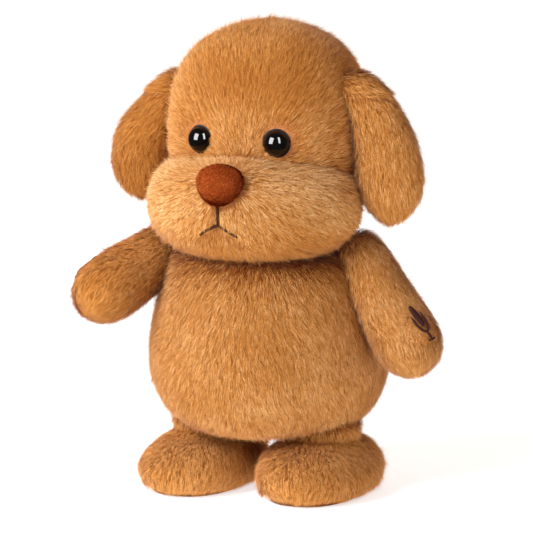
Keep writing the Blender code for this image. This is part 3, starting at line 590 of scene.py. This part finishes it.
def ear_frame(sign):
    line = smooth_line(EAR_LINE, 4) * [sign, 1, 1]
    if sign < 0:
        high = np.clip((line[:, 2] - 160) / 22, 0, 1)
        line[:, 0] += 3 * high
        line[:, 2] += RIGHT_EAR_SHORTER * np.clip((175 - line[:, 2]) / 43, 0, 1) - 3 * high
    broad = smooth_line([(b, 0) for b in EAR_BROAD], 4)[:, 0]
    thick = smooth_line([(t, 0) for t in EAR_THICK], 4)[:, 0]
    along = unit(np.gradient(line, axis=0))
    wide = np.array([math.sin(EAR_TURN) * sign, math.cos(EAR_TURN), 0])
    wide = unit(wide - along * (along @ wide)[:, None])
    return line, broad, thick, along, wide, np.cross(along, wide) * sign


def ear_rows(sign):
    angles = np.linspace(0, 2 * math.pi, 48, endpoint=False)
    line, broad, thick, along, wide, flat = ear_frame(sign)
    rows = []
    for spot, b, t, w, n in zip(line, broad, thick, wide, flat):
        c, s = np.cos(angles), np.sin(angles)
        across_it = b * np.sign(c) * np.abs(c) ** 0.9
        out = t * np.sign(s) * np.abs(s) ** 0.9
        cup = -EAR_CUP * (across_it / 20) ** 2 * (b / 20)
        rows.append(spot + across_it[:, None] * w + (out + cup)[:, None] * n)
    return rows


def make_head():
    rows = turned_rows(HEAD, HEAD_AXIS, 96)
    offset = (rows - HEAD_AXIS) * [1, 1, 0]
    rows += offset * (face_shape(offset) - 1)[..., None]
    head = skin_of(rows)
    muzzle = skin_of(muzzle_rows())
    padded_head = add_skin("plush_head", head, "head", BACKING_AND_SHADE)
    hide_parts("head_plush")
    padded_muzzle = add_skin("plush_muzzle", muzzle, "head", BACKING_AND_SHADE)
    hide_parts("muzzle_plush")

    def crown_flow(p):
        back = np.clip((p[:, 1:2] + 5) / 35, 0, 1)
        away = unit(p - [0, -60, 150])
        return away * (1 - 0.55 * back) + np.array([0, 0, -1.4]) * back

    def crown_keep(p, n):
        below = np.where((p[:, 2] < 116) & (depth_in_body(p) > -2), 0, 1)
        return face_share(p) * outside(depth_in_muzzle(p)) * below

    def muzzle_flow(p):
        return unit(p - (NOSE_CENTRE + [0, 4, 0])) + [0, 0.15, -0.25]

    # How strongly painted shade marks the crease between head and muzzle: weaker towards the middle of the
    # face.
    def brow_shade(p):
        return np.interp(np.abs(p[:, 0]), [12, 34], [0.1, 0.7])

    # Painted shade: the forehead's fur is darker round its middle, and the darkest tones lie near the muzzle
    # and the neck.
    grow("fur_head", head, "head", crown_flow, crown_keep, 6.2, 11,
         painted_light=lambda p: -0.45 * np.exp(-((p[:, 2] - 195) / 18) ** 2 - ((p[:, 0] - 10) / 30) ** 2),
         crevice_shade=lambda p: crease_shade(depth_in_muzzle(p) - 2, depth_in_body(p)) * brow_shade(p))
    # Painted light: the muzzle takes the paler tones and is paler still towards its top. Painted shade
    # darkens it towards the chin, and the darkest tones lie against the body.
    grow("fur_muzzle", muzzle, "head", muzzle_flow,
         lambda p, n: face_share(p) * outside(depth_in_head(p)), 6.2, 12, tones=PAINTED_LIT_FUR,
         painted_light=lambda p: np.interp(p[:, 2], [112, 134, 146, 160], [-0.8, -0.05, 0, 0.2]),
         crevice_shade=lambda p: crease_shade(depth_in_body(p) + 1))
    for side, sign in SIDES:
        make_eye(side, sign)
        make_ear(side, sign)
    make_nose()
    seam = tubes("thread_seam", [on_muzzle(MOUTH_SEAM, 1.2)], 0.7, "head", MOUTH)
    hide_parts("mouth_seam")
    stroke = tubes("thread_mouth", [on_muzzle(MOUTH_STROKE, 1.7)], 0.75, "head", MOUTH)
    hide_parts("mouth_stitch")


def make_eye(side, sign):
    out = np.array([sign * math.sin(EYE_FACING), -math.cos(EYE_FACING), 0])
    bend = np.radians(np.linspace(89, -28, 14))
    dome = [(EYE_RADIUS * math.cos(a), EYE_RADIUS * math.sin(a)) for a in bend] + [(0.1, -3.4)]
    skin = skin_of(turned_rows(dome, EYES[side], 48, out))
    eye = add_skin(f"eye_dome_{side}", skin, "head", EYE)
    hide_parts(f"eye_{side}")
    turn = np.linspace(0, 2 * math.pi, 49)
    u, v = across(out)
    ring = np.cos(turn)[:, None] * u + np.sin(turn)[:, None] * v
    rim = EYES[side] + out * 0.6 + EYE_RADIUS * ring
    tubes(f"eye_rim_{side}", [rim], 0.5, "head", EYE_RIM)


def nose_rows():
    """A rounded triangle, wide side up, domed outwards."""
    u = np.array([1.0, 0, 0])
    v = np.cross(NOSE_OUT, u)
    v = v if v[2] > 0 else -v
    angles = np.linspace(0, 2 * math.pi, 72, endpoint=False)
    outline = NOSE_RADIUS * (1 - 0.04 * np.sin(3 * angles + math.pi))
    rows = []
    for bulge in np.linspace(0.02, math.pi * 0.5, 14):
        rows.append((math.sin(bulge) ** 0.8, NOSE_DOME * math.cos(bulge) ** 0.9))
    rows += [(0.99, -1.2), (0.93, -2.6), (0.8, -3.6), (0.4, -4.2), (0.02, -4.4)]
    made = []
    for share, height in rows:
        ring = (np.cos(angles)[:, None] * u * 1.08 + np.sin(angles)[:, None] * v * 0.92)
        made.append(NOSE_CENTRE + ring * (outline * share)[:, None] + NOSE_OUT * height)
    return made


def make_nose():
    skin = skin_of(nose_rows())
    nose = add_skin("nose_pad", skin, "head", NOSE)
    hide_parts("nose")
    flock = palette("nose_nap", [(86, 29, 7), (100, 36, 10), (117, 45, 14), (132, 54, 19), (148, 64, 25)],
                    [(104, 38, 10), (125, 49, 17), (148, 64, 26), (170, 80, 35), (198, 103, 52)], 0.0)

    def keep(p, n):
        return np.where((p - NOSE_CENTRE) @ NOSE_OUT > -1.5, 1.0, 0)

    grow("nose_nap", skin, "head", lambda p: p - NOSE_CENTRE + [0, 0, 3.0], keep, 1.3, 13, per_mm2=12,
         width=0.26, lift=(70, 52), tuft=1.2, clump=0.5, tones=flock)


def make_ear(side, sign):
    skin = skin_of(ear_rows(sign))
    ear = add_skin(f"plush_ear_{side}", skin, f"{side}_ear", BACKING_AND_SHADE)
    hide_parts(f"ear_{side}")
    line, _, _, along, _, _ = ear_frame(sign)

    def flow(p):
        index = np.abs(p[:, None, 2] - line[None, :, 2]).argmin(1)
        return along[index] + [0, 0, -0.3]

    # Painted shade: both ears' fur is darker, the right ear's more so, and the darkest tones lie next to the
    # head.
    grow(f"fur_ear_{side}", skin, f"{side}_ear", flow, lambda p, n: covered(depth_in_head(p)), 6.2,
         20 + sign, painted_light=lambda p: np.full(len(p), -0.1 if sign > 0 else -0.4),
         crevice_shade=lambda p: crease_shade(-np.abs(depth_in_head(p))) * 0.5)


# ---------------------------------------------------------------- body and back hatch
def make_body():
    rows = turned_rows(BODY, (0, 0, 0), 88, depth=BODY_DEPTH)
    rows[..., 1] += sweep(rows[..., 2]) * (rows[..., 0] / rows[..., 0].max(1)[:, None]) ** 2
    skin = skin_of(rows)
    body = add_skin("plush_body", skin, "torso", BACKING_AND_SHADE)
    for name, sizes in CUTS.items():
        cut_box(body, name, *sizes)
    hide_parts("body_plush")

    def keep(p, n):
        middle, half_z = (HATCH_LOW + HATCH_HIGH) / 2, (HATCH_HIGH - HATCH_LOW) / 2
        back = p[:, 1] > 15
        hatch = ((np.abs(p[:, 0]) < HATCH_HALF_X + HATCH_MARGIN)
                 & (np.abs(p[:, 2] - middle) < half_z + HATCH_MARGIN) & back)
        above = (np.abs(p[:, 0]) < HATCH_HALF_X) & (p[:, 2] < HATCH_HIGH + 5.5) & back
        arms = covered(np.maximum(depth_in_arm(p, "left"), depth_in_arm(p, "right")))
        return np.where(hatch, 0, np.where(above, 0.4, 1)) * arms * outside(depth_in_muzzle(p) - 2)

    def flow(p):
        spread = p * [0.9, 0.2, 0] * np.clip((p[:, 1:2] - 20) / -30, 0, 1)
        return spread + np.array([0, 0, -1]) * np.abs(p[:, 2:3] - 140)

    # Painted shade: the chin's shadow on the chest, and the darkest tones against the arms and the feet.
    def crevice_shade(p):
        chin_shadow = 0.9 * np.exp((depth_in_muzzle(p) + 2) / 8) * (p[:, 1] < 20)
        return np.maximum(chin_shadow, crease_shade(depth_in_arm(p, "left"), depth_in_arm(p, "right"),
                                         depth_in_foot(p, 1), depth_in_foot(p, -1)))

    grow("fur_body", skin, "torso", flow, keep, 6.8, 31, crevice_shade=crevice_shade)
    make_binding()


def cut_box(obj, name, half, low, high, start):
    """Cuts a box out of a piece, from start backwards."""
    bpy.ops.mesh.primitive_cube_add(size=1)
    cutter = bpy.context.object
    cutter.name = name
    cutter.scale = Vector((2 * half, CUT_LENGTH, high - low)) * MM
    cutter.location = Vector(world([0, start + CUT_LENGTH / 2, (low + high) / 2]))
    cut = obj.modifiers.new(name, "BOOLEAN")
    cut.operation, cut.solver, cut.object = "DIFFERENCE", "EXACT", cutter
    bpy.context.view_layer.update()
    made = bpy.data.meshes.new_from_object(obj.evaluated_get(bpy.context.evaluated_depsgraph_get()))
    obj.modifiers.clear()
    obj.data = made
    bpy.data.objects.remove(cutter)


def body_back(x, z):
    radius = lathe_radius(BODY, np.array([z]))[0]
    return BODY_DEPTH * math.sqrt(max(radius ** 2 - x ** 2, 0))


def make_binding():
    """The stitched edge of the fur round the battery plate."""
    half, low, high, corner = HATCH_HALF_X + 0.4, HATCH_LOW - 0.4, HATCH_HIGH + 0.4, 3
    spots = []
    for x, z, first in ((half - corner, high - corner, 0), (-half + corner, high - corner, 90),
                        (-half + corner, low + corner, 180), (half - corner, low + corner, 270)):
        for a in np.radians(np.linspace(first, first + 90, 7)):
            spots.append((x + corner * math.cos(a), z + corner * math.sin(a)))
    spots.append(spots[0])
    line = []
    for (x0, z0), (x1, z1) in zip(spots, spots[1:]):
        for t in np.linspace(0, 1, max(int(math.hypot(x1 - x0, z1 - z0) / 2), 1), endpoint=False):
            x, z = x0 + (x1 - x0) * t, z0 + (z1 - z0) * t
            line.append((x, max(body_back(x, z), 39.5) + 0.2, z))
    line.append(line[0])
    tubes("binding", [line], 1.2, "torso", SHAVED)


# ---------------------------------------------------------------- arms
def make_arms():
    for side, sign in SIDES:
        along = arm_direction(side)
        root = SHOULDER * [sign, 1, 1]
        skin = skin_of(turned_rows(ARM, root, 56, along))
        arm = add_skin(f"plush_arm_{side}", skin, f"{side}_arm", BACKING_AND_SHADE)
        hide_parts(f"arm_{side}")
        out = -unit(JOINTS[f"{side}_hand_press"]["axis"])
        centre = root + along * HAND_ALONG + out * HAND_OUT

        def keep(p, n):
            spot = near(p, centre, PATCH_RADIUS - 1, PATCH_RADIUS + 3, 0.5)
            return outside(depth_in_body(p)) * np.where(n @ out > 0.2, spot, 1)

        def flow(p):
            return np.tile(along + np.array([0, 0, -0.25]), (len(p), 1))

        # Painted light: the arms' fur is a little paler. The darkest tones lie where an arm meets the body
        # and the muzzle, as painted shade.
        grow(f"fur_arm_{side}", skin, f"{side}_arm", flow, keep, 6.2, 40 + sign,
             tones=ARM_FUR[side], painted_light=lambda p: np.full(len(p), 0.08),
             crevice_shade=lambda p: crease_shade(depth_in_body(p), depth_in_muzzle(p) + 1))
        make_patch(side, centre, out, along)


def make_patch(side, centre, out, along):
    """A shaved patch over the hand switch, with its embroidered sign."""
    up = -along
    right = np.cross(up, out)

    def on_patch(u, v, proud):
        u, v = np.asarray(u, float), np.asarray(v, float)
        drop = u ** 2 / BEND_ACROSS + v ** 2 / BEND_ALONG
        return (centre + u[..., None] * right + v[..., None] * up + (proud + 0.1 - drop)[..., None] * out)

    turn = np.linspace(0, 2 * math.pi, 48, endpoint=False)
    rows = []
    for r, proud in ((0.05, 0.4), (0.4, 0.4), (0.75, 0.35), (0.93, 0.1), (1.0, -0.4), (0.97, -1.2),
                     (0.5, -1.3), (0.05, -1.3)):
        rows.append(on_patch(PATCH_RADIUS * r * np.cos(turn), PATCH_RADIUS * r * np.sin(turn),
                             np.full(48, proud)))
    skin = skin_of(rows)
    name = "microphone_patch" if side == "left" else "music_patch"
    body = f"{side}_hand_button"
    patch = add_skin(f"shaved_{side}", skin, body, SHAVED)
    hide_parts(name)

    def keep(p, n):
        return np.where(n @ out > 0.35, 1.0, 0)

    grow(f"nap_{side}", skin, body, lambda p: np.tile(along, (len(p), 1)), keep, 2.2, 50 + len(side),
         per_mm2=8, width=0.22, lift=(34, 12), tones=ARM_FUR[side])
    tilt, slim, tall = (math.radians(7), 0.68, 1.24) if side == "left" else (0, 1, 1.1)

    def line(spots, proud=1.0):
        u, v = np.array(spots, float).T * [[slim], [tall]]
        return on_patch(u * math.cos(tilt) - v * math.sin(tilt), u * math.sin(tilt) + v * math.cos(tilt),
                        np.full(len(u), proud))

    threads = []
    if side == "left":
        for v in np.arange(-1.3, 7.7, 0.5):
            wide = 2.3 * math.sqrt(max(1 - ((v - 3.2) / 4.9) ** 2, 0.02))
            threads.append(line([(-wide, v - 0.15), (0, v + 0.1), (wide, v - 0.15)], 1.5))
        cup = [(4.4 * math.cos(a), 0.6 + 4.4 * math.sin(a)) for a in np.linspace(math.pi, 2 * math.pi, 17)]
        threads.append(line([(-4.4, 3.6)] + cup + [(4.4, 3.6)], 1.5))
        threads.append(line([(0, -3.8), (0, -5.4), (0, -7.2)], 1.5))
        threads.append(line([(-3.2, -7.3), (0, -7.4), (3.2, -7.3)], 1.5))
    else:
        for v in np.arange(-5.4, -2.4, 0.5):
            wide = 2.3 * math.sqrt(max(1 - ((v + 3.9) / 1.8) ** 2, 0.05))
            threads.append(line([(-1.4 - wide, v - 0.5), (-1.4, v), (-1.4 + wide, v + 0.5)], 1.1))
        threads.append(line([(0.8, -3.6), (0.8, 1.0), (0.8, 6.2)]))
        threads.append(line([(0.8, 6.2), (2.4, 5.0), (3.8, 3.0), (3.6, 0.8)]))
    tubes(f"sign_{side}", threads, 0.6, body, THREAD, sides=6)


# ---------------------------------------------------------------- feet
def foot_rows(sign):
    angles = np.linspace(0, 2 * math.pi, 88, endpoint=False)
    c, s = np.cos(angles), np.sin(angles)
    outline = smooth_line(FOOT_ROWS, 3)
    rows = [foot_row(z, hx, hy, c, s, sign, 0.8) for z, hx, hy in SOLE_RECESS]
    return rows + [foot_row(z, hx, hy, c, s, sign, np.interp(z, [1, 8], [0.84, 0.97]))
                   for z, hx, hy in outline]


def foot_row(z, hx, hy, c, s, sign, power):
    centre = FOOT_LOW + (FOOT_HIGH - FOOT_LOW) * np.interp(z, [12, 27], [0, 1])
    x = centre[0] + hx * np.sign(c) * np.abs(c) ** power
    y = centre[1] + hy * np.sign(s) * np.abs(s) ** power
    return np.stack([x * sign, y, np.full_like(x, z)], 1)


def make_feet():
    for side, sign in SIDES:
        skin = skin_of(foot_rows(sign))
        foot = add_skin(f"plush_foot_{side}", skin, f"{side}_leg", BACKING_AND_SHADE)
        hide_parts(f"foot_{side}")
        start = np.array([27.0 * sign, 0, 48])

        def keep(p, n):
            recess = ((p[:, 2] > 1.2) & (p[:, 2] < 5.5) & (n[:, 2] < 0.1)
                      & (np.abs(p[:, 0] - FOOT_LOW[0] * sign) < 20) & (np.abs(p[:, 1] - FOOT_LOW[1]) < 34))
            furred = np.where((n[:, 2] < -0.6) | recess, 0, 1)
            floor_room = np.interp(p[:, 2], [1, 5], [0.45, 1])
            return furred * floor_room * outside(depth_in_body(p))

        def flow(p):
            away = unit(p - start)
            flat = np.clip((8 - p[:, 2:3]) / 8, 0, 1)
            return away + flat * unit((p - start) * [1, 1, 0]) * 0.6

        # The feet take the deeper orange copy, as painted shade, made paler as painted light. The darkest
        # tones lie by the body and the other foot, as painted shade.
        grow(f"fur_foot_{side}", skin, f"{side}_leg", flow, keep, 6.0, 60 + sign, tones=SHADE_TINT_FUR,
             painted_light=lambda p: np.full(len(p), 0.25),
             crevice_shade=lambda p: crease_shade(depth_in_body(p), depth_in_foot(p, -sign)))


# ---------------------------------------------------------------- finishes of the CAD pieces
def finish_cad():
    white = mottled("moulded_white", linear(214, 210, 202), linear(224, 221, 214), 1800, 0.45, 0.05, 0.00005)
    dark = mottled("moulded_dark", linear(46, 45, 47), linear(54, 53, 55), 2600, 0.55, 0.25, 0.00008)
    steel = plain("plated_steel", linear(190, 190, 192), 0.28, Metallic=1.0)
    jacket = plain("cell_jacket", linear(58, 78, 96), 0.35)
    board = plain("solder_mask", linear(28, 96, 52), 0.4)
    rubber = mottled("moulded_rubber", linear(34, 34, 34), linear(44, 44, 44), 1500, 0.85, 0.2, 0.0001)
    made = {"white_plastic": white, "dark_plastic": dark, "steel": steel, "cell_jacket": jacket,
            "circuit_board": board, "rubber": rubber}
    for part in frame["record"]["subparts"]:
        mat = made.get(part.get("material_slot"))
        if mat:
            data = frame["nodes"][part["node"]].data
            data.materials.clear()
            data.materials.append(mat)


# ---------------------------------------------------------------- studio
CAMERA_TURN, CAMERA_LIFT, CAMERA_AWAY = math.radians(23), math.radians(9), 2.0
VIEW_WIDTH, SENSOR_WIDTH = 0.251, 36        # m across at the target, and mm
FLOOR_HALF = 12
TARGET = world([0, 0, 105.2])
RIGHT = np.array([math.cos(CAMERA_TURN), math.sin(CAMERA_TURN), 0])
TOWARD = np.array([math.sin(CAMERA_TURN), -math.cos(CAMERA_TURN), 0])
UP = np.array([0, 0, 1.0])


def area_light(name, place, size, watts, lights=True, colour=(1, 1, 1)):
    """A soft light aimed at the target, or with lights off a window that only shows in glossy finishes.
    place is how far to the viewer's right, towards the viewer and up it stands, in metres."""
    spot = TARGET + RIGHT * place[0] + TOWARD * place[1] + UP * place[2]
    data = bpy.data.lights.new(name, "AREA")
    data.shape, data.size, data.size_y = "RECTANGLE", size[0], size[1]
    data.energy, data.color = watts, colour
    lamp = bpy.data.objects.new(name, data)
    bpy.context.scene.collection.objects.link(lamp)
    lamp.location = spot
    lamp.rotation_euler = (Vector(TARGET) - Vector(spot)).to_track_quat("-Z", "Y").to_euler()
    lamp.visible_diffuse, lamp.visible_glossy = lights, not lights


def make_floor():
    half = FLOOR_HALF
    mesh = bpy.data.meshes.new("floor")
    mesh.from_pydata([(-half, -half, 0), (half, -half, 0), (half, half, 0), (-half, half, 0)], [],
                     [(0, 1, 2, 3)])
    mesh.materials.append(plain("floor", (0.86, 0.86, 0.86), 0.9, Emission_Color=(0.9, 0.95, 1, 1),
                                Emission_Strength=0.7))
    floor = bpy.data.objects.new("floor", mesh)
    bpy.context.scene.collection.objects.link(floor)
    floor.visible_glossy = False


def make_camera():
    back = TOWARD * math.cos(CAMERA_LIFT) + UP * math.sin(CAMERA_LIFT)
    camera = bpy.data.objects.new("camera", bpy.data.cameras.new("camera"))
    bpy.context.scene.collection.objects.link(camera)
    camera.location = Vector(TARGET + back * CAMERA_AWAY)
    camera.rotation_euler = Vector(-back).to_track_quat("-Z", "Y").to_euler()
    camera.data.sensor_width = SENSOR_WIDTH
    camera.data.lens = SENSOR_WIDTH * CAMERA_AWAY / VIEW_WIDTH
    bpy.context.scene.camera = camera


def make_lights():
    area_light("softbox", (-1.0, 0.85, 0.9), (0.7, 0.7), 26, colour=(0.93, 1, 1.1))
    area_light("near_window", (-1.05, 0.86, 0.6), (0.9, 1.3), 95, lights=False)
    area_light("far_window", (0.4, 0.9, 0.6), (0.3, 1.0), 25, lights=False)


def make_world():
    """White to the camera, dark in glossy finishes, and otherwise a warm fill that is brighter
    from the viewer's left."""
    studio = bpy.data.worlds.new("studio")
    bpy.context.scene.world = studio
    studio.use_nodes = True
    nodes, links = studio.node_tree.nodes, studio.node_tree.links
    rays = nodes.new("ShaderNodeLightPath")
    seen, gloss = nodes.new("ShaderNodeMixRGB"), nodes.new("ShaderNodeMixRGB")
    place, facing = nodes.new("ShaderNodeTexCoord"), nodes.new("ShaderNodeVectorMath")
    facing.operation, facing.inputs[1].default_value = "DOT_PRODUCT", RIGHT
    fill = nodes.new("ShaderNodeValToRGB")
    fill.color_ramp.elements[0].color = (0.74, 0.61, 0.47, 1)
    fill.color_ramp.elements[1].color = (0.36, 0.27, 0.19, 1)
    half = nodes.new("ShaderNodeMapRange")
    half.inputs["From Min"].default_value = -1
    seen.inputs["Color2"].default_value = (1, 1, 1, 1)
    gloss.inputs["Color2"].default_value = (0.1, 0.1, 0.1, 1)
    links.new(place.outputs["Generated"], facing.inputs[0])
    links.new(facing.outputs["Value"], half.inputs["Value"])
    links.new(half.outputs["Result"], fill.inputs["Fac"])
    links.new(fill.outputs["Color"], seen.inputs["Color1"])
    links.new(rays.outputs["Is Camera Ray"], seen.inputs["Fac"])
    links.new(rays.outputs["Is Glossy Ray"], gloss.inputs["Fac"])
    links.new(seen.outputs["Color"], gloss.inputs["Color1"])
    links.new(gloss.outputs["Color"], nodes["Background"].inputs["Color"])
    bpy.context.scene.view_settings.view_transform = "Standard"


make_head()
make_body()
make_arms()
make_feet()
finish_cad()
make_floor()
make_camera()
make_lights()
make_world()
